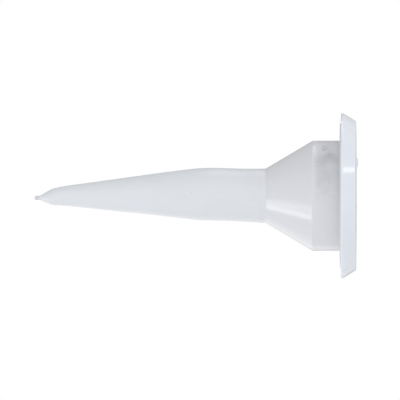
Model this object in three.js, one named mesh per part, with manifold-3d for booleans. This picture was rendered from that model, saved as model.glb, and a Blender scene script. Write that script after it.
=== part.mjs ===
// Spreading wall anchor with a captive screw, in millimetres, +Z up.
// Its axis lies along X: the tip points to -X and the cover cap to +X. The wall's face is the plane x = 0.
// The moulded shell is a neck with two legs, slit along the plane y = 0. Turning the screw draws the wedge
// nut towards the head, and the nut's flanks push the ramps inside the legs apart.
import * as THREE from 'three';
import { mergeVertices } from 'three/addons/utils/BufferGeometryUtils.js';
import Module from 'manifold-3d';

const wasm = await Module();
wasm.setup();

// Shell, from the wall towards the tip
const COLLAR_R = 10.45;
const COLLAR_END = -5.4;
const CREASE_X = -14.3; // where the cone meets the tube, and the legs bend
const TUBE_R = 5.0;
const FLARE = { x: -18.9, slope: 0.037, round: 1.5 }; // the tube widens from here to the crease
const TAPER = { x: -26.7, slope: 0.1205, round: 2.2 }; // the tube narrows from here to the tip
const POINT = { x: -54.8, slope: 0.34, round: 0.6 }; // the short cone of the tip starts here
const NIB_R = 0.48;
const NIB_START = -57.3;
const NIB_EDGE = 0.08;
const TIP_X = -58.2;
const SLIT = 0.3; // gap between the two legs, and between the legs and the neck

// Flange of the neck, seal and cover cap
const FLANGE_R = 13.9;
const FLANGE_TOP = 1.4;
const REBATE = { inner: 10.9, depth: 0.6 }; // seat of the seal, open to the flange's edge
const SEAL = { inner: 11.0, outer: 13.8, low: -0.2, high: 0.55, edge: 0.12 };
const CAP_R = 15.65;
const CAP_TOP_R = 14.15;
const CAP_TOP = 2.85;
const CAP_PLATE = 1.2;
const SKIRT_INNER = 14.1;
const SPIGOT = { inner: 7.2, outer: 8.55, end: -3.5, slot: 1.8, slotRoot: 0.4 };
const GATE = { height: 6.25, baseR: 1.6, stubR: 0.85, base: 0.18, stub: 0.38, edge: 0.1, sink: 0.3 };
const PRY_NOTCH = { width: 4.5, height: 0.9 };

// Recess, shoulder and bore for the screw inside the neck
const RECESS_R = 8.8;
const RECESS_BEND = -4.6;
const SHOULDER_X = -8.0;
const SHOULDER_END = -10.0;
const FUNNEL_R = 6.8;
const SCREW_BORE = 2.4;
const POCKET_R = 3.6;

// Screw, washer and retaining ring
const HEAD = { radius: 4.0, edge: 0.2, low: -7.0, side: -5.7, dome: -4.75, domeR: 3.5, top: -4.3, topR: 2.2 };
const CROSS = { width: 1.15, span: 4.6, foot: 1.84, depth: 2.1 };
const SHANK_R = 2.05;
const SHANK_END = -11.6;
const SHANK_ROOT = { length: 0.5, radius: 1.65 }; // where the shank runs into the thread
const PITCH = 1.4;
const THREAD = { coreR: 1.55, crestR: 2.1, coreHalf: 0.5, crestHalf: 0.14, point: 0.1 };
const THREAD_GAP = 0.25; // between the screw's thread and the nut's
const SCREW_END = -33.2;
const WASHER = { inner: 2.3, outer: 4.5, low: -7.9, high: -7.1 };
const RING = { inner: 2.2, outer: 3.3, low: -10.9, high: -10.2, gap: 1.5 };

// Wedge nut, at rest near the start of the taper
const NUT_WIDE = -31.5;
const NUT_LAND = -30.0;
const NUT_NARROW = -26.0;
const NUT_R = 3.4;
const NUT_HALF = 3.3;
const NUT_SLOPE = 0.133;

// Inside of the legs: the ramps follow the nut's travel, so the legs open by the same angle for each turn
const LEG_INNER = 3.6;
const CAVITY = { wide: -32.2, screw: -34.0, screwR: 2.6, end: -47.0, endR: 1.0 };
const RAMP = { halfWidth: 1.9, gap: 0.1, length: 10.6, runOff: 1.2, root: 0.35, steps: 10 };
const NUT_TRAVEL = 9.1;
const LEG_ANGLE = THREE.MathUtils.degToRad(5);

const ROUND = 40; // facets round the large pieces
const FINE = 24; // facets round the small ones
const THREAD_STEPS = 12; // facets in a turn of thread
const LEG_STEPS = 22; // bands along a leg
const CUT_OVER = 1; // how far a cutting shape runs past what it cuts

// A ramp that leaves zero at d = 0, rounded over a distance w either side.
function bend(d, w) {
  if (d <= -w) return 0;
  return d >= w ? d : (d + w) ** 2 / (4 * w);
}

// Outer radius of the tube and the legs.
function shellRadius(x) {
  const flare = FLARE.slope * bend(x - FLARE.x, FLARE.round);
  const taper = TAPER.slope * bend(TAPER.x - x, TAPER.round);
  const point = POINT.slope * bend(POINT.x - x, POINT.round);
  return TUBE_R + flare - taper - point;
}

// Closed solid from a geometry: shared vertices merged, and slivers at the axis left out.
function toSolid(geometry) {
  geometry.deleteAttribute('normal');
  geometry.deleteAttribute('uv');
  const merged = mergeVertices(geometry);
  const corners = merged.index.array;
  const triangles = [];
  for (let i = 0; i < corners.length; i += 3) {
    const [a, b, c] = corners.slice(i, i + 3);
    if (a !== b && b !== c && c !== a) triangles.push(a, b, c);
  }
  const vertProperties = new Float32Array(merged.attributes.position.array);
  const triVerts = new Uint32Array(triangles);
  return new wasm.Manifold(new wasm.Mesh({ numProp: 3, vertProperties, triVerts }));
}

function toGeometry(solid) {
  const mesh = solid.getMesh();
  const geometry = new THREE.BufferGeometry();
  geometry.setAttribute('position', new THREE.BufferAttribute(new Float32Array(mesh.vertProperties), 3));
  geometry.setIndex(new THREE.BufferAttribute(new Uint32Array(mesh.triVerts), 1));
  geometry.computeVertexNormals();
  return geometry;
}

// Solid of revolution about X. The outline is a list of [x, radius], clockwise with x to the right and the
// radius upwards. It starts and ends on the axis, or closes on itself.
function revolve(outline, sides) {
  const geometry = new THREE.LatheGeometry(outline.map(([x, r]) => new THREE.Vector2(r, x)), sides);
  geometry.rotateZ(-Math.PI / 2);
  return toSolid(geometry);
}

function ring({ inner, outer, low, high }, sides) {
  return revolve([[low, inner], [low, outer], [high, outer], [high, inner], [low, inner]], sides);
}

// Block between two corners.
function block(low, high) {
  const [dx, dy, dz] = high.map((value, i) => value - low[i]);
  const geometry = new THREE.BoxGeometry(dx, dy, dz);
  geometry.translate(low[0] + dx / 2, low[1] + dy / 2, low[2] + dz / 2);
  return toSolid(geometry);
}

// Prism along Z over an outline of [x, y], counter-clockwise.
function prism(outline, halfWidth) {
  const shape = new THREE.Shape(outline.map(([x, y]) => new THREE.Vector2(x, y)));
  const geometry = new THREE.ExtrudeGeometry(shape, { depth: 2 * halfWidth, bevelEnabled: false });
  geometry.translate(0, 0, -halfWidth);
  return toSolid(geometry);
}

// Rod with a right-handed thread, as one strip that winds from start to end. A turn's section is a ridge from
// the core to the crest. gap makes the rod fatter, for a nut's bore. With fade, the ridge rises and dies away
// over a turn at each end. Every ridge's middle passes x = 0 at angle 0, so a screw and its nut are in mesh.
function threadedRod({ start, end, gap, fade }) {
  const first = Math.ceil((start / PITCH) * THREAD_STEPS);
  const last = Math.floor((end / PITCH) * THREAD_STEPS);
  const steps = last - first - THREAD_STEPS;
  const coreHalf = THREAD.coreHalf + gap / 2;
  const crestHalf = THREAD.crestHalf + gap / 2;
  const section = [[-coreHalf, 0], [-crestHalf, 1], [crestHalf, 1], [coreHalf, 0]];
  const width = section.length;
  const positions = [];
  const triangles = [];
  for (let step = first; step <= last; step += 1) {
    const angle = (2 * Math.PI * step) / THREAD_STEPS;
    const x = (PITCH * step) / THREAD_STEPS;
    const turnsIn = Math.min(step - first, first + steps - step) / THREAD_STEPS;
    const height = fade ? THREE.MathUtils.clamp(turnsIn, 0, 1) : 1;
    for (const [offset, ridge] of section) {
      const radius = THREAD.coreR + gap + (THREAD.crestR - THREAD.coreR) * ridge * height;
      positions.push(x + offset, radius * Math.cos(angle), radius * Math.sin(angle));
    }
  }
  // The strip's last column is the first column of the next turn.
  const turn = THREAD_STEPS * width;
  const at = (step, column) => step * width + (column < width ? column : turn);
  for (let step = 0; step < steps; step += 1) {
    for (let column = 0; column < width; column += 1) {
      const [a, b] = [at(step, column), at(step + 1, column)];
      const [c, d] = [at(step + 1, column + 1), at(step, column + 1)];
      triangles.push(a, b, c, a, c, d);
    }
  }
  const apexes = positions.length / 3;
  positions.push(positions[0] - THREAD.point, 0, 0);
  positions.push(positions[at(steps, width) * 3] + THREAD.point, 0, 0);
  for (let step = 0; step < THREAD_STEPS; step += 1) {
    triangles.push(apexes, at(step + 1, 0), at(step, 0));
    triangles.push(apexes + 1, at(steps + step, 0), at(steps + step + 1, 0));
  }
  for (let column = 0; column < width; column += 1) {
    triangles.push(apexes, at(0, column), at(0, column + 1));
    triangles.push(apexes + 1, at(steps, column + 1), at(steps, column));
  }
  const geometry = new THREE.BufferGeometry();
  geometry.setAttribute('position', new THREE.BufferAttribute(new Float32Array(positions), 3));
  geometry.setIndex(triangles);
  return toSolid(geometry);
}

// Collar, cone and flange in one moulding, with a stepped bore for the screw.
function neckBody() {
  return revolve([
    [CREASE_X, POCKET_R],
    [CREASE_X, shellRadius(CREASE_X)],
    [COLLAR_END, COLLAR_R],
    [0, COLLAR_R],
    [0, REBATE.inner],
    [REBATE.depth, REBATE.inner],
    [REBATE.depth, FLANGE_R],
    [FLANGE_TOP, FLANGE_R],
    [FLANGE_TOP, RECESS_R],
    [RECESS_BEND, RECESS_R],
    [SHOULDER_X, FUNNEL_R],
    [SHOULDER_X, SCREW_BORE],
    [SHOULDER_END, SCREW_BORE],
    [SHOULDER_END, POCKET_R],
    [CREASE_X, POCKET_R],
  ], ROUND);
}

// Flat seal in the flange's rebate, standing a little proud towards the wall.
function sealingGasket() {
  const { inner, outer, low, high, edge } = SEAL;
  return revolve([
    [low, inner + edge],
    [low, outer - edge],
    [low + edge, outer],
    [high, outer],
    [high, inner],
    [low + edge, inner],
    [low, inner + edge],
  ], ROUND);
}

// Bevelled cap over the head, with a slotted spigot that grips the recess and a moulding gate mark outside.
function coverCap() {
  const under = CAP_TOP - CAP_PLATE;
  const disc = revolve([
    [under, 0],
    [under, SPIGOT.inner],
    [SPIGOT.end, SPIGOT.inner],
    [SPIGOT.end, SPIGOT.outer],
    [under, SPIGOT.outer],
    [under, SKIRT_INNER],
    [0, SKIRT_INNER],
    [0, CAP_R],
    [CAP_TOP, CAP_TOP_R],
    [CAP_TOP, 0],
  ], ROUND);
  const half = SPIGOT.slot / 2;
  const reach = SPIGOT.outer + CUT_OVER;
  const slotStart = SPIGOT.end - CUT_OVER;
  const slotEnd = under - SPIGOT.slotRoot;
  const slots = block([slotStart, -half, -reach], [slotEnd, half, reach])
    .add(block([slotStart, -reach, -half], [slotEnd, reach, half]));
  const notchHalf = PRY_NOTCH.width / 2;
  const notch = block(
    [-CUT_OVER, SKIRT_INNER - CUT_OVER, -notchHalf],
    [PRY_NOTCH.height, CAP_R + CUT_OVER, notchHalf],
  );
  const base = CAP_TOP + GATE.base;
  const stub = CAP_TOP + GATE.stub;
  const gate = revolve([
    [CAP_TOP - GATE.sink, 0],
    [CAP_TOP - GATE.sink, GATE.baseR],
    [base - GATE.edge, GATE.baseR],
    [base, GATE.baseR - GATE.edge],
    [base, GATE.stubR],
    [stub, GATE.stubR - GATE.edge],
    [stub, 0],
  ], FINE).translate([0, 0, GATE.height]);
  return disc.subtract(slots).subtract(notch).add(gate);
}

// Pan-head screw with a coarse thread and a cross recess.
function fixingScrew() {
  const { radius, low, side, dome, domeR, top, topR, edge } = HEAD;
  const head = revolve([
    [SHANK_END - SHANK_ROOT.length, 0],
    [SHANK_END - SHANK_ROOT.length, SHANK_ROOT.radius],
    [SHANK_END, SHANK_R],
    [low, SHANK_R],
    [low, radius - edge],
    [low + edge, radius],
    [side, radius],
    [dome, domeR],
    [top, topR],
    [top, 0],
  ], FINE);
  const rod = threadedRod({ start: SCREW_END, end: SHANK_END + PITCH, gap: 0, fade: true });
  const blade = [
    [top - CROSS.depth, -CROSS.foot / 2],
    [top, -CROSS.span / 2],
    [top + CUT_OVER, -CROSS.span / 2],
    [top + CUT_OVER, CROSS.span / 2],
    [top, CROSS.span / 2],
    [top - CROSS.depth, CROSS.foot / 2],
  ];
  const cross = prism(blade, CROSS.width / 2);
  return head.add(rod).subtract(cross).subtract(cross.rotate([90, 0, 0]));
}

function headWasher() {
  return ring(WASHER, ROUND);
}

// Open ring pushed on to the shank under the shoulder, so that the screw can't fall out.
function retainingRing() {
  const half = RING.gap / 2;
  const opening = block([RING.low - CUT_OVER, -half, 0], [RING.high + CUT_OVER, half, RING.outer + CUT_OVER]);
  return ring(RING, FINE * 2).subtract(opening);
}

// Nut with round sides above and below, and flats that narrow towards the head in front and behind.
function wedgeNut() {
  const barrel = revolve([
    [NUT_WIDE, 0],
    [NUT_WIDE, NUT_R],
    [NUT_NARROW, NUT_R],
    [NUT_NARROW, 0],
  ], FINE * 2);
  const narrowHalf = NUT_HALF - NUT_SLOPE * (NUT_NARROW - NUT_LAND);
  const wedge = prism([
    [NUT_WIDE - CUT_OVER, -NUT_HALF],
    [NUT_LAND, -NUT_HALF],
    [NUT_NARROW, -narrowHalf],
    [NUT_NARROW + CUT_OVER, -narrowHalf],
    [NUT_NARROW + CUT_OVER, narrowHalf],
    [NUT_NARROW, narrowHalf],
    [NUT_LAND, NUT_HALF],
    [NUT_WIDE - CUT_OVER, NUT_HALF],
  ], NUT_R + CUT_OVER);
  const start = NUT_WIDE - 2 * PITCH;
  const bore = threadedRod({ start, end: NUT_NARROW + 3 * PITCH, gap: THREAD_GAP, fade: false });
  return barrel.intersect(wedge).subtract(bore);
}

// Ramp inside the leg on the +Y side. At every point of the nut's travel, the land's edge just meets it.
function legRamp() {
  const reach = CREASE_X - NUT_LAND;
  const gain = LEG_ANGLE / NUT_TRAVEL;
  const rootR = LEG_INNER + RAMP.root;
  const top = LEG_INNER + CUT_OVER;
  const face = [];
  for (let i = 0; i <= RAMP.steps; i += 1) {
    const s = (RAMP.length * i) / RAMP.steps;
    face.push([NUT_LAND + s, NUT_HALF + RAMP.gap - gain * s * (reach - s)]);
  }
  const outline = [...face, [NUT_LAND + RAMP.length + RAMP.runOff, top], [NUT_LAND, top]];
  const wall = revolve([[NUT_WIDE, 0], [NUT_WIDE, rootR], [CREASE_X, rootR], [CREASE_X, 0]], ROUND);
  return prism(outline, RAMP.halfWidth).intersect(wall);
}

// Both legs together: a hollow tube and taper, solid towards the tip, with a short nib at the end.
function legPair() {
  const start = CREASE_X - SLIT;
  const outer = [];
  for (let i = 0; i <= LEG_STEPS; i += 1) {
    const x = NIB_START + ((start - NIB_START) * i) / LEG_STEPS;
    outer.push([x, shellRadius(x)]);
  }
  const shell = revolve([
    [TIP_X, 0],
    [TIP_X, NIB_R - NIB_EDGE],
    [TIP_X + NIB_EDGE, NIB_R],
    [NIB_START - NIB_EDGE, NIB_R],
    ...outer,
    [start, 0],
  ], ROUND);
  const hollow = revolve([
    [CAVITY.end, 0],
    [CAVITY.end, CAVITY.endR],
    [CAVITY.screw, CAVITY.screwR],
    [CAVITY.wide, LEG_INNER],
    [start + CUT_OVER, LEG_INNER],
    [start + CUT_OVER, 0],
  ], ROUND);
  return shell.subtract(hollow);
}

// One leg: the half of the pair on its side of the slit, with its ramp. side is -1 in front, +1 behind.
function leg(side) {
  const low = side < 0 ? -COLLAR_R : SLIT / 2;
  const high = side < 0 ? -SLIT / 2 : COLLAR_R;
  const half = block([TIP_X - CUT_OVER, low, -COLLAR_R], [0, high, COLLAR_R]);
  const ramp = side < 0 ? legRamp().rotate([180, 0, 0]) : legRamp();
  return legPair().intersect(half).add(ramp);
}

const WHITE_PLASTIC = { color: 0xdfe1e6, roughness: 0.42, metalness: 0 };
const CAP_PLASTIC = { color: 0xe6e8f0, roughness: 0.3, metalness: 0 };
const SEAL_RUBBER = { color: 0xe2e3e6, roughness: 0.7, metalness: 0 };
const ZINC_STEEL = { color: 0xb9bcc0, roughness: 0.35, metalness: 1 };
const NUT_BRASS = { color: 0xc2a25a, roughness: 0.4, metalness: 1 };
const RING_NYLON = { color: 0xd8d6cc, roughness: 0.5, metalness: 0 };

const group = new THREE.Group();

function addPart(name, solid, finish) {
  const mesh = new THREE.Mesh(toGeometry(solid), new THREE.MeshStandardMaterial(finish));
  mesh.name = name;
  group.add(mesh);
}

addPart('neck_body', neckBody(), WHITE_PLASTIC);
addPart('front_leg', leg(-1), WHITE_PLASTIC);
addPart('back_leg', leg(1), WHITE_PLASTIC);
addPart('sealing_gasket', sealingGasket(), SEAL_RUBBER);
addPart('cover_cap', coverCap(), CAP_PLASTIC);
addPart('fixing_screw', fixingScrew(), ZINC_STEEL);
addPart('head_washer', headWasher(), ZINC_STEEL);
addPart('retaining_ring', retainingRing(), RING_NYLON);
addPart('wedge_nut', wedgeNut(), NUT_BRASS);

export default group;
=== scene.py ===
"""Looks of the spreading wall anchor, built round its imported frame. Lengths are in millimetres. x runs along
the axis, with 0 at the flange's wall side, the legs below 0 and the cap above it."""
import math

import bmesh
import bpy
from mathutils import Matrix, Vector


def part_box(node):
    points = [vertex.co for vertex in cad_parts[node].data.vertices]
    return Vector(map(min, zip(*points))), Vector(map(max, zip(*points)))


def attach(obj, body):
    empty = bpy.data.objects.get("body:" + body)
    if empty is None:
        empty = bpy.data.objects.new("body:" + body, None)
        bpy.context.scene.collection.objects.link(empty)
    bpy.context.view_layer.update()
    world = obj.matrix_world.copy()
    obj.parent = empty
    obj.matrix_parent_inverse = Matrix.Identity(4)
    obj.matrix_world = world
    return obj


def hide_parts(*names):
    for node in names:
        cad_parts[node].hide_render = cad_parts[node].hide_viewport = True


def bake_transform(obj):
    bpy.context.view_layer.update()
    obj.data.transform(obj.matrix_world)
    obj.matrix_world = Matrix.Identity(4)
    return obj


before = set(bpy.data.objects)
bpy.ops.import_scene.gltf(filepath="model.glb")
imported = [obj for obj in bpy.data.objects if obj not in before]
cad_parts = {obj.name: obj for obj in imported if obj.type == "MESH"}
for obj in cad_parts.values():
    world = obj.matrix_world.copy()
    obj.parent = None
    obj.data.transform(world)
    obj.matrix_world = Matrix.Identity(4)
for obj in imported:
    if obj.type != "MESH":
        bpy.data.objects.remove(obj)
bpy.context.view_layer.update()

MM = 0.001


def box_mm(node):
    """Lowest and highest corner of a CAD node, in millimetres."""
    low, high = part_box(node)
    return low / MM, high / MM


neck_low, neck_high = box_mm("neck_body")
leg_low, leg_high = box_mm("front_leg")
cap_low, cap_high = box_mm("cover_cap")
seal_low, seal_high = box_mm("sealing_gasket")
washer_low, washer_high = box_mm("head_washer")
ring_low, ring_high = box_mm("retaining_ring")
screw_low, screw_high = box_mm("fixing_screw")
nut_low, nut_high = box_mm("wedge_nut")

# Shell of the neck and the legs
CREASE_X = neck_low.x
COLLAR_R = 10.45
COLLAR_END = -5.4
TUBE_R = 5.0
FLARE_X = -18.9
FLARE_SLOPE = 0.037
TAPER_X = -26.7
TAPER_SLOPE = 0.1205
POINT_X = -54.8
POINT_SLOPE = 0.34
NIB_R = 0.48
NIB_START = -57.3
TIP_X = leg_low.x
TIP_BLUNT = 0.12
JOIN_X = CREASE_X - 0.9  # the legs' skins meet the neck's here, just past the crease
SLIT_HALF = -leg_high.y
SLIT_EDGE = 0.14
TUBE_RISE, TAPER_FALL, TIP_FALL = 0.3, 0.3, 0.43
FLANGE_R = neck_high.z
FLANGE_TOP = neck_high.x
REBATE_INNER, REBATE_DEPTH = 10.9, 0.6  # the seal's seat
RECESS_R = 8.8
RECESS_BEND = -4.6  # the recess narrows from here to FUNNEL_R at the shoulder under the screw's head
SHOULDER_X, SHOULDER_END = -8.0, -10.0
FUNNEL_R = 6.8
SCREW_BORE = 2.4
POCKET_R = 3.6

# Inside of the legs
LEG_INNER = 3.6
CAVITY = [(-32.2, LEG_INNER), (-34.0, 2.6), (-46.6, 1.0), (-47.0, 0.0)]  # how the hollow narrows to its end
NUT_LAND = -30.0
NUT_HALF = nut_high.y
NUT_TRAVEL = 9.1
RAMP_HALF_WIDTH = 1.9
RAMP_ANGLE = math.asin(RAMP_HALF_WIDTH / LEG_INNER)
RAMP_GAP = 0.1
RAMP_LENGTH = 10.6
RAMP_FADE, RAMP_FADE_SLOPE = 1.2, 1.1  # the ramp sinks into the leg's wall past its working length
LEG_ANGLE = math.radians(5)

# Cover cap
CAP_R = cap_high.z
CAP_TOP_R = 14.15
CAP_TOP = 2.85
CAP_LAND = 0.45  # the rim is straight this far, before its bevel
CAP_CHAMFER = 0.12
CAP_PLATE = 1.2
SKIRT_INNER = 14.1
SPIGOT_INNER, SPIGOT_OUTER, SPIGOT_END = 7.2, 8.55, cap_low.x
SPIGOT_SLOT, SPIGOT_ROOT = 1.8, 0.4  # width of the slots, and what they leave of the spigot at its root
GATE_HEIGHT = 6.25
GATE_R, GATE_TOP_R, GATE_RISE = 1.7, 1.55, 0.17
PIP_R, PIP_TOP_R = 0.85, 0.72
NOTCH_WIDTH, NOTCH_HEIGHT = 4.5, 0.9

# Seal, washer and retaining ring
SEAL_INNER = 11.0
WASHER_INNER = 2.3
RING_INNER, RING_OUTER, RING_OPENING = 2.2, 3.3, 1.5

# Screw and nut
HEAD_R = 4.0
HEAD_LOW = -7.0
HEAD_TOP = screw_high.x
CROSS_DEPTH, CROSS_HALF = 2.1, 0.5
CROSS_FOOT_REACH, CROSS_TOP_REACH = 0.95, 2.45
SHANK_R = 2.05
SHANK_END = -11.6
PITCH = 1.4
CORE_R = 1.55
THREAD_R = 2.1
THREAD_FOOT, THREAD_CREST = 0.5, 0.14  # half widths of the thread where it leaves the core, and at its crest
THREAD_GAP = 0.25
NUT_R = 3.4
NUT_SLOPE = 0.133

# Meshes
SEGMENTS, FINE_SEGMENTS = 96, 192
SHARP_ANGLE = math.radians(32)
CUT_MARGIN = 0.6  # how far a cutter stands past what it cuts


# ---------------------------------------------------------------------------------------------- outlines


def smooth(value, start, end):
    """0 at start, 1 at end, eased between them."""
    t = min(1.0, max(0.0, (value - start) / (end - start)))
    return t * t * (3 - 2 * t)


def bend(distance, width):
    """A ramp that leaves zero at distance 0, rounded over width either side."""
    if distance <= -width:
        return 0.0
    return distance if distance >= width else (distance + width) ** 2 / (4 * width)


def shell_radius(x):
    """Outer radius of the tube, the taper and the nib."""
    flare = FLARE_SLOPE * bend(x - FLARE_X, 1.5)
    taper = TAPER_SLOPE * bend(TAPER_X - x, 2.2)
    point = POINT_SLOPE * bend(POINT_X - x, 0.6)
    return max(NIB_R, TUBE_R + flare - taper - point)


def moulding_warp(x):
    """How far the cooled legs bow off the axis: up along the tube, back along the taper, down at the tip."""
    fall = TAPER_FALL * smooth(x, -30, -53) + TIP_FALL * smooth(x, -51, -58.5)
    return TUBE_RISE * smooth(x, -14, -25) - fall


def rounded(corners, closed=False, steps=5):
    """Outline of [x, radius] with its corners rounded. A corner is (x, radius) or (x, radius, rounding)."""
    outline = []
    count = len(corners)
    for i, corner in enumerate(corners):
        here = Vector(corner[:2])
        size = corner[2] if len(corner) > 2 else 0.0
        if size == 0.0 or (not closed and i in (0, count - 1)):
            outline.append(tuple(here))
            continue
        back = Vector(corners[i - 1][:2]) - here
        ahead = Vector(corners[(i + 1) % count][:2]) - here
        back_dir, ahead_dir = back.normalized(), ahead.normalized()
        half = back_dir.angle(ahead_dir) / 2
        reach = min(size / math.tan(half), back.length * 0.45, ahead.length * 0.45)
        radius = reach * math.tan(half)
        centre = here + (back_dir + ahead_dir).normalized() * (radius / math.sin(half))
        first = here + back_dir * reach - centre
        last = here + ahead_dir * reach - centre
        for step in range(steps + 1):
            spoke = first.slerp(last, step / steps, first).normalized()
            outline.append(tuple(centre + spoke * radius))
    return outline


# ---------------------------------------------------------------------------------------------- meshes


def to_object(bm, name):
    """Finished object from a bmesh in millimetres: outward faces, smooth shading and sharp hard edges."""
    bmesh.ops.remove_doubles(bm, verts=bm.verts, dist=1e-5)
    bmesh.ops.dissolve_degenerate(bm, edges=bm.edges, dist=1e-6)
    bmesh.ops.recalc_face_normals(bm, faces=bm.faces)
    bmesh.ops.scale(bm, vec=(MM, MM, MM), verts=bm.verts)
    mesh = bpy.data.meshes.new(name)
    bm.to_mesh(mesh)
    bm.free()
    mesh.shade_smooth()
    mesh.set_sharp_from_angle(angle=SHARP_ANGLE)
    piece = bpy.data.objects.new(name, mesh)
    bpy.context.scene.collection.objects.link(piece)
    return piece


def revolve(bm, outline, segments=SEGMENTS, closed=False):
    """Surface of revolution about X over an outline of [x, radius]."""
    rings = []
    for x, radius in outline:
        if radius < 1e-6:
            rings.append([bm.verts.new((x, 0, 0))])
            continue
        rings.append([
            bm.verts.new((x, radius * math.cos(a), radius * math.sin(a)))
            for a in (2 * math.pi * k / segments for k in range(segments))
        ])
    pairs = list(zip(rings, rings[1:]))
    if closed:
        pairs.append((rings[-1], rings[0]))
    for low, high in pairs:
        for k in range(segments):
            around = ((low, k), (low, k + 1), (high, k + 1), (high, k))
            corners = [ring[i % len(ring)] for ring, i in around]
            distinct = list(dict.fromkeys(corners))
            if len(distinct) > 2:
                bm.faces.new(distinct)


def loft(bm, sections):
    """Closed tube through sections that have the same number of points, with flat ends."""
    rings = [[bm.verts.new(point) for point in section] for section in sections]
    count = len(rings[0])
    for low, high in zip(rings, rings[1:]):
        for k in range(count):
            bm.faces.new([low[k], low[(k + 1) % count], high[(k + 1) % count], high[k]])
    bm.faces.new(rings[0])
    bm.faces.new(rings[-1])


def block(name, low, high):
    """Plain cutting block between two corners."""
    bm = bmesh.new()
    bmesh.ops.create_cube(bm, size=1)
    size = Vector(high) - Vector(low)
    bmesh.ops.scale(bm, vec=size, verts=bm.verts)
    bmesh.ops.translate(bm, vec=Vector(low) + size / 2, verts=bm.verts)
    return to_object(bm, name)


def cut(piece, cutters):
    """Cuts solids out of a piece and deletes them."""
    for cutter in cutters:
        modifier = piece.modifiers.new("cut", "BOOLEAN")
        modifier.object = cutter
        modifier.operation = "DIFFERENCE"
        modifier.solver = "EXACT"
    bpy.context.view_layer.update()
    graph = bpy.context.evaluated_depsgraph_get()
    mesh = bpy.data.meshes.new_from_object(piece.evaluated_get(graph))
    piece.modifiers.clear()
    piece.data = mesh
    for cutter in cutters:
        bpy.data.objects.remove(cutter)
    mesh.shade_smooth()
    mesh.set_sharp_from_angle(angle=SHARP_ANGLE)


def neck_piece():
    """Collar, cone and flange, with the recess and the stepped bore. It ends just past the crease."""
    corners = [
        (JOIN_X, POCKET_R),
        (JOIN_X, shell_radius(JOIN_X)),
        (CREASE_X + 0.02, shell_radius(CREASE_X), 0.6),
        (COLLAR_END, COLLAR_R, 0.35),
        (0, COLLAR_R, 0.2),
        (0, REBATE_INNER, 0.05),
        (REBATE_DEPTH, REBATE_INNER),
        (REBATE_DEPTH, FLANGE_R, 0.1),
        (FLANGE_TOP, FLANGE_R, 0.15),
        (FLANGE_TOP, RECESS_R, 0.25),
        (RECESS_BEND, RECESS_R, 0.6),
        (SHOULDER_X, FUNNEL_R, 0.4),
        (SHOULDER_X, SCREW_BORE, 0.1),
        (SHOULDER_END, SCREW_BORE, 0.1),
        (SHOULDER_END, POCKET_R, 0.3),
    ]
    bm = bmesh.new()
    revolve(bm, rounded(corners, closed=True, steps=6), FINE_SEGMENTS, closed=True)
    return to_object(bm, "neck_moulding")


def cavity_radius(x):
    """Radius of the hollow inside the legs."""
    if x >= CAVITY[0][0]:
        return LEG_INNER
    for (x0, r0), (x1, r1) in zip(CAVITY, CAVITY[1:]):
        if x >= x1:
            return r0 + (r1 - r0) * (x0 - x) / (x0 - x1)
    return 0.0


def ramp_height(x):
    """Distance of the ramp's face from the slit's middle. It is endless where there is no ramp."""
    run = x - NUT_LAND
    if run < 0 or run > RAMP_LENGTH + RAMP_FADE:
        return math.inf
    gain = LEG_ANGLE / NUT_TRAVEL
    reach = CREASE_X - NUT_LAND
    working = min(run, RAMP_LENGTH)
    height = NUT_HALF + RAMP_GAP - gain * working * (reach - working)
    return height + RAMP_FADE_SLOPE * max(0.0, run - RAMP_LENGTH)


def leg_section(x, outer_r, side):
    """Section of a leg at x: a half ring with rounded outer edges along the slit, and the ramp inside."""
    edge = min(SLIT_EDGE, (outer_r - SLIT_HALF) * 0.3)
    offset = SLIT_HALF + edge
    corner_z = math.sqrt((outer_r - edge) ** 2 - offset ** 2)
    limit = math.atan2(corner_z, offset)
    warp = moulding_warp(x)
    points = []
    arc_steps, edge_steps = 56, 4
    for k in range(edge_steps):
        a = -math.pi + (math.pi - limit) * k / edge_steps
        points.append((offset + edge * math.cos(a), -corner_z + edge * math.sin(a) + warp))
    for k in range(arc_steps + 1):
        a = -limit + 2 * limit * k / arc_steps
        points.append((outer_r * math.cos(a), outer_r * math.sin(a) + warp))
    for k in range(1, edge_steps + 1):
        a = limit + (math.pi - limit) * k / edge_steps
        points.append((offset + edge * math.cos(a), corner_z + edge * math.sin(a) + warp))
    # The hollow follows the warp only in the solid part of the tip.
    inner_r = cavity_radius(x)
    inner_warp = warp * smooth(x, -34, -50)
    ramp = ramp_height(x)
    beyond, across = 7, 10
    wide = RAMP_ANGLE + 0.03
    angles = [math.pi / 2 + (wide - math.pi / 2) * k / beyond for k in range(beyond + 1)]
    angles += [RAMP_ANGLE - 2 * RAMP_ANGLE * k / across for k in range(across + 1)]
    angles += [-wide + (wide - math.pi / 2) * k / beyond for k in range(beyond + 1)]
    spread = max(inner_r, 0.02)
    for a in angles:
        depth = inner_r * math.cos(a)
        if abs(a) < wide:
            depth = min(depth, ramp)
        points.append((max(SLIT_HALF, depth), spread * math.sin(a) + inner_warp))
    return [(x, side * y, z) for y, z in points]


def leg_piece(name, side):
    """One leg: side is -1 in front of the slit and +1 behind it."""
    step = 0.35
    stations = [JOIN_X - step * k for k in range(int((JOIN_X - NIB_START) / step) + 1)]
    stations += [NUT_LAND + 0.01, NUT_LAND - 0.01] + [x for x, radius in CAVITY]
    stations += [NUT_LAND + RAMP_LENGTH, NUT_LAND + RAMP_LENGTH + RAMP_FADE]
    stations += [NIB_START + 0.3, NIB_START, NIB_START - 0.3, TIP_X + 0.25, TIP_X + 0.08, TIP_X]
    sections = []
    for x in sorted(set(stations), reverse=True):
        blunt = TIP_BLUNT * smooth(x, TIP_X + 0.3, TIP_X)
        sections.append(leg_section(x, shell_radius(x) - blunt, side))
    bm = bmesh.new()
    loft(bm, sections)
    return to_object(bm, name)


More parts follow.
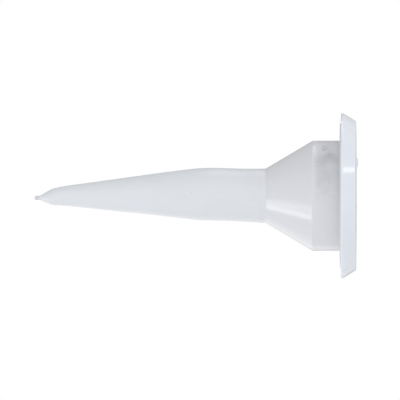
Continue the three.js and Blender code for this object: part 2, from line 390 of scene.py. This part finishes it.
def gasket_piece():
    """Flat seal with rounded edges."""
    corners = [
        (seal_low.x, SEAL_INNER, 0.2),
        (seal_low.x, seal_high.z, 0.2),
        (seal_high.x, seal_high.z, 0.08),
        (seal_high.x, SEAL_INNER, 0.08),
    ]
    bm = bmesh.new()
    revolve(bm, rounded(corners, closed=True), FINE_SEGMENTS, closed=True)
    return to_object(bm, "seal_ring")


def cap_piece():
    """Bevelled cap with a slotted spigot, and a pry notch on the far side."""
    under = CAP_TOP - CAP_PLATE
    corners = [
        (under, 0),
        (under, SPIGOT_INNER, 0.3),
        (SPIGOT_END, SPIGOT_INNER, 0.25),
        (SPIGOT_END, SPIGOT_OUTER, 0.35),
        (under, SPIGOT_OUTER, 0.3),
        (under, SKIRT_INNER, 0.3),
        (0, SKIRT_INNER, 0.1),
        (0, CAP_R - CAP_CHAMFER, 0.06),
        (CAP_CHAMFER, CAP_R, 0.06),
        (CAP_LAND, CAP_R, 0.08),
        (CAP_TOP, CAP_TOP_R, 0.3),
        (CAP_TOP, 0),
    ]
    bm = bmesh.new()
    revolve(bm, rounded(corners), FINE_SEGMENTS)
    cap = to_object(bm, "cap_shell")
    half = SPIGOT_SLOT / 2
    slot_start, slot_end = SPIGOT_END - CUT_MARGIN, under - SPIGOT_ROOT
    reach = SPIGOT_OUTER + CUT_MARGIN
    notch_low = (-CUT_MARGIN, SKIRT_INNER - CUT_MARGIN, -NOTCH_WIDTH / 2)
    notch_high = (NOTCH_HEIGHT, CAP_R + CUT_MARGIN, NOTCH_WIDTH / 2)
    cut(cap, [
        block("slot_z", (slot_start, -half, -reach), (slot_end, half, reach)),
        block("slot_y", (slot_start, -reach, -half), (slot_end, reach, half)),
        block("notch", notch_low, notch_high),
    ])
    return cap


def gate_mark():
    """The stub that the moulding gate leaves on the cap: a low disc with a snapped-off pip."""
    foot, top = CAP_TOP - 0.25, cap_high.x
    corners = [
        (foot, 0),
        (foot, GATE_R),
        (CAP_TOP + GATE_RISE, GATE_TOP_R, 0.12),
        (CAP_TOP + GATE_RISE, PIP_R, 0.08),
        (top, PIP_TOP_R, 0.1),
        (top - 0.06, 0),
    ]
    bm = bmesh.new()
    revolve(bm, rounded(corners), 64)
    bmesh.ops.translate(bm, vec=(0, 0, GATE_HEIGHT), verts=bm.verts)
    return to_object(bm, "cap_gate_mark")


def thread_strip(bm, start, end, core, crest, core_half, crest_half, fade):
    """Right-handed thread as one strip that winds from start to end, with its core closed at both ends. core
    and crest are radii, core_half and crest_half are half widths, and fade lets it run out at both ends."""
    around = 36
    first, last = math.ceil(start / PITCH * around), math.floor(end / PITCH * around)
    steps = last - first - around
    section = [(-core_half, 0.0), (-crest_half, 0.92), (-crest_half * 0.5, 1.0), (crest_half * 0.5, 1.0)]
    section += [(crest_half, 0.92), (core_half, 0.0)]
    rows = []
    for step in range(first, last + 1):
        a = 2 * math.pi * step / around
        turns_in = min(step - first, first + steps - step) / around
        height = min(1.0, max(0.0, turns_in)) if fade else 1.0
        row = []
        for offset, ridge in section if step <= first + steps else section[:1]:
            r = core + (crest - core) * ridge * height
            row.append(bm.verts.new((PITCH * step / around + offset, r * math.cos(a), r * math.sin(a))))
        rows.append(row)
    columns = len(section)

    def at(step, column):
        return rows[step][column] if column < columns else rows[step + around][0]

    for step in range(steps):
        for column in range(columns):
            bm.faces.new([
                at(step, column), at(step + 1, column), at(step + 1, column + 1), at(step, column + 1),
            ])
    low = bm.verts.new((rows[0][0].co.x - 0.1, 0, 0))
    high = bm.verts.new((rows[-1][0].co.x + 0.1, 0, 0))
    for step in range(around):
        bm.faces.new([low, at(step + 1, 0), at(step, 0)])
        bm.faces.new([high, at(steps + step, 0), at(steps + step + 1, 0)])
    for column in range(columns):
        bm.faces.new([low, at(0, column), at(0, column + 1)])
        bm.faces.new([high, at(steps, column + 1), at(steps, column)])


def screw_head():
    """Pan head, plain shank and cross recess."""
    root = SHANK_END - 0.6
    corners = [
        (root, 0),
        (root, CORE_R - 0.05),
        (SHANK_END, SHANK_R, 0.2),
        (HEAD_LOW, SHANK_R, 0.2),
        (HEAD_LOW, HEAD_R, 0.15),
        (HEAD_LOW + 1.3, HEAD_R, 0.6),
        (HEAD_TOP - 0.35, HEAD_R * 0.86, 1.2),
        (HEAD_TOP, HEAD_R * 0.4, 1.5),
        (HEAD_TOP, 0),
    ]
    bm = bmesh.new()
    revolve(bm, rounded(corners, steps=6))
    head = to_object(bm, "screw_head")
    foot = (HEAD_TOP - CROSS_DEPTH, CROSS_FOOT_REACH, CROSS_HALF * 0.72)
    mouth = (HEAD_TOP + CUT_MARGIN, CROSS_TOP_REACH, CROSS_HALF * 1.15)
    cutters = []
    for turn in (0, 1):
        sections = []
        for x, reach, half in (foot, mouth):
            ends = [(-reach, -half), (reach, -half), (reach, half), (-reach, half)]
            sections.append([(x, b, a) if turn else (x, a, b) for a, b in ends])
        wing = bmesh.new()
        loft(wing, sections)
        cutters.append(to_object(wing, f"cross_{turn}"))
    cut(head, cutters)
    return head


def screw_thread():
    """The threaded length of the screw, with a run-out at both ends."""
    bm = bmesh.new()
    start, end = screw_low.x + 0.6, SHANK_END + PITCH
    thread_strip(bm, start, end, CORE_R, THREAD_R, THREAD_FOOT, THREAD_CREST, fade=True)
    return to_object(bm, "screw_thread")


def washer_piece():
    """Flat washer with slightly rounded edges."""
    corners = [
        (washer_low.x, WASHER_INNER, 0.08),
        (washer_low.x, washer_high.z, 0.15),
        (washer_high.x, washer_high.z, 0.15),
        (washer_high.x, WASHER_INNER, 0.08),
    ]
    bm = bmesh.new()
    revolve(bm, rounded(corners, closed=True), closed=True)
    return to_object(bm, "washer_disc")


def ring_piece():
    """Open retaining ring."""
    corners = [
        (ring_low.x, RING_INNER, 0.08),
        (ring_low.x, RING_OUTER, 0.15),
        (ring_high.x, RING_OUTER, 0.15),
        (ring_high.x, RING_INNER, 0.08),
    ]
    outline = rounded(corners, closed=True)
    gap = math.asin(RING_OPENING / (RING_INNER + RING_OUTER))
    steps = 72
    sections = []
    for step in range(steps + 1):
        a = math.pi / 2 + gap + (2 * math.pi - 2 * gap) * step / steps
        sections.append([(x, r * math.cos(a), r * math.sin(a)) for x, r in outline])
    bm = bmesh.new()
    loft(bm, sections)
    return to_object(bm, "retainer")


def nut_piece():
    """Wedge nut: round above and below, narrowing flats in front and behind, threaded bore."""
    corners = [
        (nut_low.x, 0),
        (nut_low.x, NUT_R, 0.2),
        (nut_high.x, NUT_R, 0.2),
        (nut_high.x, 0),
    ]
    bm = bmesh.new()
    revolve(bm, rounded(corners))
    nut = to_object(bm, "nut_wedge")
    narrow = NUT_HALF - NUT_SLOPE * (nut_high.x - NUT_LAND)
    low, high, far = nut_low.x - CUT_MARGIN, nut_high.x + CUT_MARGIN, NUT_R + CUT_MARGIN
    outline = [
        (low, NUT_HALF), (NUT_LAND, NUT_HALF), (nut_high.x, narrow), (high, narrow), (high, far), (low, far),
    ]
    cutters = []
    for side in (-1, 1):
        flat = bmesh.new()
        loft(flat, [[(x, side * y, z) for x, y in outline] for z in (-far, far)])
        cutters.append(to_object(flat, f"flat_{side}"))
    bore = bmesh.new()
    thread_strip(
        bore, nut_low.x - 2 * PITCH, nut_high.x + 3 * PITCH, CORE_R + THREAD_GAP, THREAD_R + THREAD_GAP,
        THREAD_FOOT + THREAD_GAP / 2, THREAD_CREST + THREAD_GAP / 2, fade=False,
    )
    cutters.append(to_object(bore, "bore"))
    cut(nut, cutters)
    return nut


# ---------------------------------------------------------------------------------------------- materials


class Nodes:
    """A node tree in the making. Apart from node and set, its methods add nodes and return an output."""

    def __init__(self, tree):
        self.tree = tree

    def node(self, kind, **settings):
        made = self.tree.nodes.new(kind)
        for key, value in settings.items():
            setattr(made, key, value)
        return made

    def set(self, socket, value):
        if isinstance(value, bpy.types.NodeSocket):
            self.tree.links.new(value, socket)
        else:
            socket.default_value = value

    def combine(self, operation, a, b):
        made = self.node("ShaderNodeMath", operation=operation)
        self.set(made.inputs[0], a)
        self.set(made.inputs[1], b)
        return made.outputs["Value"]

    def plus(self, a, b):
        return self.combine("ADD", a, b)

    def times(self, a, b):
        return self.combine("MULTIPLY", a, b)


class Recipe(Nodes):
    """A material in the making."""

    def __init__(self, name):
        self.material = bpy.data.materials.new(name)
        self.material.use_nodes = True
        super().__init__(self.material.node_tree)
        self.tree.nodes.clear()
        self.place = self.node("ShaderNodeTexCoord").outputs["Object"]

    def stretch(self, scale):
        """The piece's own coordinates, scaled along each axis."""
        made = self.node("ShaderNodeMapping")
        self.set(made.inputs["Vector"], self.place)
        self.set(made.inputs["Scale"], scale)
        return made.outputs["Vector"]

    def noise(self, size, detail=3.0, roughness=0.5, vector=None, distortion=0.0):
        """Noise whose features are about size millimetres across."""
        made = self.node("ShaderNodeTexNoise")
        self.set(made.inputs["Vector"], vector or self.place)
        self.set(made.inputs["Scale"], 1 / (size * MM))
        self.set(made.inputs["Detail"], detail)
        self.set(made.inputs["Roughness"], roughness)
        self.set(made.inputs["Distortion"], distortion)
        return made.outputs["Fac"]

    def specks(self, spacing, size):
        """1 in sparse round specks, 0 between them."""
        made = self.node("ShaderNodeTexVoronoi")
        self.set(made.inputs["Vector"], self.place)
        self.set(made.inputs["Scale"], 1 / (spacing * MM))
        return self.span(made.outputs["Distance"], size / spacing, size / spacing * 0.4, 0.0, 1.0)

    def span(self, value, low, high, to_low=0.0, to_high=1.0):
        """value from low..high mapped to to_low..to_high, eased and clamped."""
        made = self.node("ShaderNodeMapRange", interpolation_type="SMOOTHSTEP")
        self.set(made.inputs["Value"], value)
        self.set(made.inputs["From Min"], low)
        self.set(made.inputs["From Max"], high)
        self.set(made.inputs["To Min"], to_low)
        self.set(made.inputs["To Max"], to_high)
        return made.outputs["Result"]

    def near(self, point, radius):
        """1 at a point of the piece, given in millimetres, fading to 0 at radius."""
        made = self.node("ShaderNodeVectorMath", operation="DISTANCE")
        self.set(made.inputs[0], self.place)
        self.set(made.inputs[1], Vector(point) * MM)
        return self.span(made.outputs["Value"], radius * MM, 0.0)

    def across(self, axis, start, end, to_start=0.0, to_end=1.0):
        """span from start to end of the piece's own X, Y or Z coordinate, in millimetres."""
        made = self.node("ShaderNodeSeparateXYZ")
        self.set(made.inputs[0], self.place)
        return self.span(made.outputs[axis], start * MM, end * MM, to_start, to_end)

    def mix(self, factor, a, b):
        made = self.node("ShaderNodeMix", data_type="RGBA")
        self.set(made.inputs["Factor"], factor)
        self.set(made.inputs["A"], (*a, 1.0) if isinstance(a, tuple) else a)
        self.set(made.inputs["B"], (*b, 1.0) if isinstance(b, tuple) else b)
        return made.outputs["Result"]

    def bump(self, height, depth, normal=None):
        """Bump of a height map, depth in millimetres."""
        made = self.node("ShaderNodeBump")
        self.set(made.inputs["Height"], height)
        self.set(made.inputs["Distance"], depth * MM)
        self.set(made.inputs["Strength"], 1.0)
        if normal:
            self.set(made.inputs["Normal"], normal)
        return made.outputs["Normal"]

    def finish(self, **sockets):
        """Principled shader with these sockets, by their names with _ for a space."""
        shader = self.node("ShaderNodeBsdfPrincipled")
        for key, value in sockets.items():
            self.set(shader.inputs[key.replace("_", " ")], value)
        output = self.node("ShaderNodeOutputMaterial")
        self.tree.links.new(shader.outputs["BSDF"], output.inputs["Surface"])
        return self.material


SHELL_TONE = (0.675, 0.698, 0.737)
SHELL_DEEP = (0.660, 0.680, 0.712)
NECK_TONE = (0.674, 0.686, 0.726)
CAP_TONE = (0.700, 0.733, 0.790)
CAP_DEEP = (0.687, 0.715, 0.770)
# grey mixed in for the painted shade on the collar's top and the nib's end, and for the collar's darker spots
PAINTED_SHADE_TONE = (0.33, 0.33, 0.335)
SPECK_TONE = (0.30, 0.29, 0.28)
PLASTIC_IOR = 1.5
LEG_SPECKS = [
    # place on the leg, and radius
    ((-28.3, -4.6, 0.5), 0.32),
    ((-20.3, -3.4, -3.7), 0.3),
    ((-36.0, -3.6, 1.0), 0.2),
]
# darker spots painted into the colour on the collar's top
COLLAR_DARK_SPOTS = [
    # place on the collar, radius, and strength
    ((-3.2, -5.8, 8.7), 0.75, 0.42),
    ((-1.9, -7.2, 7.5), 1.5, 0.22),
    ((-4.6, -8.2, 6.4), 0.5, 0.20),
    ((-4.4, -8.8, 5.6), 0.45, 0.20),
    ((-2.4, -7.5, 7.2), 3.0, 0.14),
    ((-0.9, -8.0, 6.6), 1.4, 0.14),
    ((-2.8, -5.2, 9.3), 1.2, 0.16),
    ((-1.4, -9.4, 4.4), 1.6, 0.08),
    ((-2.2, -6.6, 8.1), 1.0, 0.14),
]


def shell_base(recipe):
    """Colour, roughness and relief that the neck and the legs share: polyethylene with fine scuffs. The legs
    are cloudier and duller than the neck, and both change over just past the crease."""
    cloud = recipe.noise(7.0, detail=3, roughness=0.5)
    colour = recipe.mix(recipe.span(cloud, 0.3, 0.7), SHELL_TONE, SHELL_DEEP)
    colour = recipe.mix(recipe.across("X", -16.5, -13.5), colour, NECK_TONE)
    colour = recipe.mix(recipe.times(recipe.specks(3.4, 0.07), 0.4), colour, SPECK_TONE)
    scuffs = recipe.noise(0.5, detail=5, roughness=0.65, vector=recipe.stretch((0.25, 1.0, 1.0)))
    roughness = recipe.span(scuffs, 0.3, 0.75, 0.14, 0.22)
    roughness = recipe.plus(roughness, recipe.across("X", -14.5, -16.5, 0.0, 0.16))
    normal = recipe.bump(recipe.noise(3.0, detail=1), 0.010)
    normal = recipe.bump(scuffs, 0.0012, normal)
    normal = recipe.bump(recipe.noise(0.12, detail=3, roughness=0.6), 0.0008, normal)
    return colour, roughness, normal


def leg_plastic():
    """The shell's plastic with a few specks, and painted shade that darkens it towards the nib's end."""
    recipe = Recipe("leg_polyethylene")
    colour, roughness, normal = shell_base(recipe)
    for point, radius in LEG_SPECKS:
        colour = recipe.mix(recipe.times(recipe.near(point, radius), 0.5), colour, SPECK_TONE)
    # painted shade: the colour turns greyer over the nib's end
    colour = recipe.mix(recipe.across("X", -56.6, -58.0, 0.0, 0.32), colour, PAINTED_SHADE_TONE)
    return recipe.finish(Base_Color=colour, Roughness=roughness, Normal=normal, IOR=PLASTIC_IOR)


def neck_plastic():
    """The shell's plastic. The collar is duller on top, and there its colour is painted darker and blotchy as
    painted shade, less so by the flange, with darker spots painted on it.
    """
    recipe = Recipe("neck_polyethylene")
    colour, roughness, normal = shell_base(recipe)
    # painted shade: the top of the collar is painted darker and blotchy, fading out by the flange
    shaded_collar_top = recipe.times(recipe.across("X", COLLAR_END, -4.0), recipe.across("Z", -2.0, 3.0))
    less_shade_by_flange = recipe.across("X", -1.0, -3.5, 0.25, 1.0)
    blotch = recipe.noise(2.2, detail=5, roughness=0.62, distortion=0.4)
    blotchy_painted_shade = recipe.plus(recipe.span(blotch, 0.38, 0.64, 0.0, 0.2), 0.14)
    shade_and_spots = recipe.times(recipe.times(shaded_collar_top, less_shade_by_flange), blotchy_painted_shade)
    # the darker spots are added to the collar's painted shade
    for point, radius, strength in COLLAR_DARK_SPOTS:
        shade_and_spots = recipe.plus(shade_and_spots, recipe.times(recipe.near(point, radius), strength))
    colour = recipe.mix(shade_and_spots, colour, PAINTED_SHADE_TONE)
    roughness = recipe.plus(roughness, recipe.times(shaded_collar_top, 0.25))
    return recipe.finish(Base_Color=colour, Roughness=roughness, Normal=normal, IOR=PLASTIC_IOR)


def cap_plastic():
    """Glossier and bluer plastic than the shell's, slightly translucent."""
    recipe = Recipe("cap_polymer")
    flow = recipe.noise(5.0, detail=3, roughness=0.5, vector=recipe.stretch((0.4, 1.0, 1.0)))
    colour = recipe.mix(recipe.span(flow, 0.35, 0.7), CAP_TONE, CAP_DEEP)
    colour = recipe.mix(recipe.times(recipe.specks(4.1, 0.06), 0.3), colour, SPECK_TONE)
    scuffs = recipe.noise(0.4, detail=5, roughness=0.7)
    roughness = recipe.span(scuffs, 0.35, 0.75, 0.10, 0.16)
    normal = recipe.bump(recipe.noise(3.5, detail=1), 0.006)
    normal = recipe.bump(scuffs, 0.0004, normal)
    return recipe.finish(
        Base_Color=colour, Roughness=roughness, Normal=normal, IOR=PLASTIC_IOR, Subsurface_Weight=0.3,
        Subsurface_Radius=(0.9, 0.95, 1.0), Subsurface_Scale=1.0 * MM,
    )


def seal_rubber():
    """Pale grey rubber, matt and grainy."""
    recipe = Recipe("seal_rubber")
    grain = recipe.noise(0.25, detail=4, roughness=0.7)
    colour = recipe.mix(recipe.span(grain, 0.3, 0.7), (0.69, 0.70, 0.72), (0.63, 0.64, 0.66))
    roughness = recipe.span(grain, 0.3, 0.7, 0.5, 0.65)
    return recipe.finish(Base_Color=colour, Roughness=roughness, Normal=recipe.bump(grain, 0.01), IOR=1.45)


def zinc_steel():
    """Zinc-plated steel, clouded, with fine marks round the axis."""
    recipe = Recipe("zinc_plate")
    cloud = recipe.noise(1.1, detail=5, roughness=0.6)
    colour = recipe.mix(recipe.span(cloud, 0.35, 0.7), (0.72, 0.73, 0.75), (0.6, 0.6, 0.6))
    lines = recipe.noise(0.2, detail=3, vector=recipe.stretch((1.0, 0.2, 0.2)))
    return recipe.finish(
        Base_Color=colour, Metallic=1.0, Roughness=recipe.span(lines, 0.3, 0.75, 0.22, 0.42),
        Normal=recipe.bump(lines, 0.004),
    )


def nut_brass():
    """Brass with turning marks round the axis."""
    recipe = Recipe("turned_brass")
    cloud = recipe.noise(0.9, detail=5, roughness=0.6)
    colour = recipe.mix(recipe.span(cloud, 0.35, 0.7), (0.74, 0.57, 0.27), (0.55, 0.38, 0.16))
    lines = recipe.noise(0.12, detail=2, vector=recipe.stretch((1.0, 0.1, 0.1)))
    return recipe.finish(
        Base_Color=colour, Metallic=1.0, Roughness=recipe.span(lines, 0.3, 0.75, 0.24, 0.45),
        Normal=recipe.bump(lines, 0.006),
    )


def ring_nylon():
    """Yellowed natural nylon."""
    recipe = Recipe("ring_nylon")
    cloud = recipe.noise(0.8, detail=4)
    colour = recipe.mix(recipe.span(cloud, 0.3, 0.7), (0.66, 0.64, 0.56), (0.6, 0.57, 0.49))
    return recipe.finish(
        Base_Color=colour, Roughness=0.45, Normal=recipe.bump(cloud, 0.01), Subsurface_Weight=0.2,
        Subsurface_Radius=(1.0, 1.0, 1.0), Subsurface_Scale=0.6 * MM,
    )


# ---------------------------------------------------------------------------------------------- assembly


def place(piece, material, slot, body, *nodes):
    """Gives a finished piece its material, and its body and CAD nodes in the frame."""
    piece.data.materials.clear()
    piece.data.materials.append(material)
    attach(piece, body)
    if nodes:
        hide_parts(*nodes)


def place_leg(name, side, body, material):
    """Gives a leg its skin and material, meeting the neck's skin just past the crease, and hides the leg's CAD
    node.
    """
    piece = leg_piece(name, side)
    piece.data.materials.append(material)
    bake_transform(piece)
    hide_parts(body)


def build():
    steel = zinc_steel()
    legs = leg_plastic()
    place(neck_piece(), neck_plastic(), "shell_plastic", "anchor_body", "neck_body")
    place_leg("leg_front_skin", -1, "front_leg", legs)
    place_leg("leg_back_skin", 1, "back_leg", legs)
    place(gasket_piece(), seal_rubber(), "seal", "anchor_body", "sealing_gasket")
    cap_white = cap_plastic()
    place(cap_piece(), cap_white, "cap_plastic", "cap", "cover_cap")
    place(gate_mark(), cap_white, "cap_plastic", "cap")
    place(screw_head(), steel, "zinc_steel", "screw", "fixing_screw")
    place(screw_thread(), steel, "zinc_steel", "screw")
    place(washer_piece(), steel, "zinc_steel", "anchor_body", "head_washer")
    place(ring_piece(), ring_nylon(), "ring_nylon", "screw", "retaining_ring")
    place(nut_piece(), nut_brass(), "nut_brass", "nut", "wedge_nut")


# ---------------------------------------------------------------------------------------------- stage


FRAME_WIDTH = 76.0  # width of the picture at the anchor's axis
AIM = Vector((-26.8, 0, -0.82))
CAMERA_DISTANCE = 3000.0
CAMERA_TURN = math.radians(1.0)  # from square on, towards the cap
SENSOR = 36.0
FLOOR_Z = -400.0
FLOOR_HALF = 1200.0
ROOM_LIGHT = 0.265
ROOM_LOBES = [
    # the way that each broad glow lies from the object, and its strength
    ((0, -1, 0), 0.64),
    ((0, -1, 1), 0.28),
    ((1, 0, 0), 0.34),
    ((1, 0, 1), 0.29),
    ((0, 1, 0), 0.22),
]
LIGHTS_CENTRE = Vector((-15.0, 0, 0))
LIGHTS_DISTANCE = 280.0
LIGHTS = [
    # name, tilt, turn, radiance, width, height
    ("key_low_left", -59, -56, 4.1, 12, 26),
    ("key_fringe", -60, -36, 2.1, 12, 16),
    ("lamp_right", 58.5, 55, 5.2, 14, 4),
    ("edge_top", 1, 108, 1.6, 10, 40),
    ("back_left", -42, 180, 2.2, 26, 40),
    ("back_low", -24, -142, 0.35, 50, 34),
]


def add_camera():
    data = bpy.data.cameras.new("camera")
    data.sensor_width = SENSOR
    data.lens = SENSOR * CAMERA_DISTANCE / FRAME_WIDTH
    data.clip_start, data.clip_end = 50.0 * MM, 10000.0 * MM
    camera = bpy.data.objects.new("camera", data)
    back = Vector((math.sin(CAMERA_TURN), -math.cos(CAMERA_TURN), 0))
    camera.location = (AIM + back * CAMERA_DISTANCE) * MM
    camera.rotation_euler = (math.pi / 2, 0, CAMERA_TURN)
    bpy.context.scene.collection.objects.link(camera)
    bpy.context.scene.camera = camera


def add_light(name, tilt, turn, radiance, width, height):
    """Soft box that shines on the neck. tilt is its angle from straight across the axis towards the cap, and
    turn its angle about the axis, from the camera's side up. width and height are the angles it fills."""
    a, b = math.radians(tilt), math.radians(turn)
    toward = Vector((math.sin(a), -math.cos(a) * math.cos(b), math.cos(a) * math.sin(b)))
    data = bpy.data.lights.new(name, "AREA")
    data.shape = "RECTANGLE"
    data.size = 2 * LIGHTS_DISTANCE * math.tan(math.radians(width / 2)) * MM
    data.size_y = 2 * LIGHTS_DISTANCE * math.tan(math.radians(height / 2)) * MM
    data.energy = radiance * math.pi * data.size * data.size_y
    light = bpy.data.objects.new(name, data)
    light.location = (LIGHTS_CENTRE + toward * LIGHTS_DISTANCE) * MM
    light.rotation_mode = "QUATERNION"
    light.rotation_quaternion = toward.to_track_quat("Z", "Y")
    light.visible_camera = False
    bpy.context.scene.collection.objects.link(light)


def add_floor():
    """Wide white ground far below the object. It shows only when the camera looks down."""
    bm = bmesh.new()
    bmesh.ops.create_grid(bm, x_segments=1, y_segments=1, size=FLOOR_HALF)
    bmesh.ops.translate(bm, vec=(0, 0, FLOOR_Z), verts=bm.verts)
    floor = to_object(bm, "floor")
    recipe = Recipe("floor_white")
    floor.data.materials.append(recipe.finish(
        Base_Color=(0.6, 0.6, 0.6, 1), Roughness=0.9, Emission_Color=(1, 1, 1, 1), Emission_Strength=0.42,
    ))


def add_world():
    """White behind the object. What only lights it is dimmer and uneven, as in a studio."""
    world = bpy.data.worlds.new("studio")
    world.use_nodes = True
    nodes = Nodes(world.node_tree)
    direction = nodes.node("ShaderNodeTexCoord").outputs["Generated"]
    room = ROOM_LIGHT
    for axis, strength in ROOM_LOBES:
        lobe = nodes.node("ShaderNodeVectorMath", operation="DOT_PRODUCT")
        nodes.set(lobe.inputs[0], direction)
        nodes.set(lobe.inputs[1], Vector(axis).normalized())
        facing = nodes.combine("MAXIMUM", lobe.outputs["Value"], 0.0)
        room = nodes.plus(room, nodes.times(facing, strength))
    brightness = nodes.node("ShaderNodeMapRange")
    nodes.set(brightness.inputs["Value"], nodes.node("ShaderNodeLightPath").outputs["Is Camera Ray"])
    nodes.set(brightness.inputs["To Min"], room)
    nodes.set(brightness.inputs["To Max"], 1.0)
    background = world.node_tree.nodes["Background"]
    nodes.set(background.inputs["Color"], (1, 1, 1, 1))
    nodes.set(background.inputs["Strength"], brightness.outputs["Result"])
    bpy.context.scene.world = world


def stage():
    scene = bpy.context.scene
    scene.view_settings.view_transform = "Standard"
    scene.view_settings.look = "None"
    add_camera()
    add_world()
    add_floor()
    for light in LIGHTS:
        add_light(*light)


stage()
build()
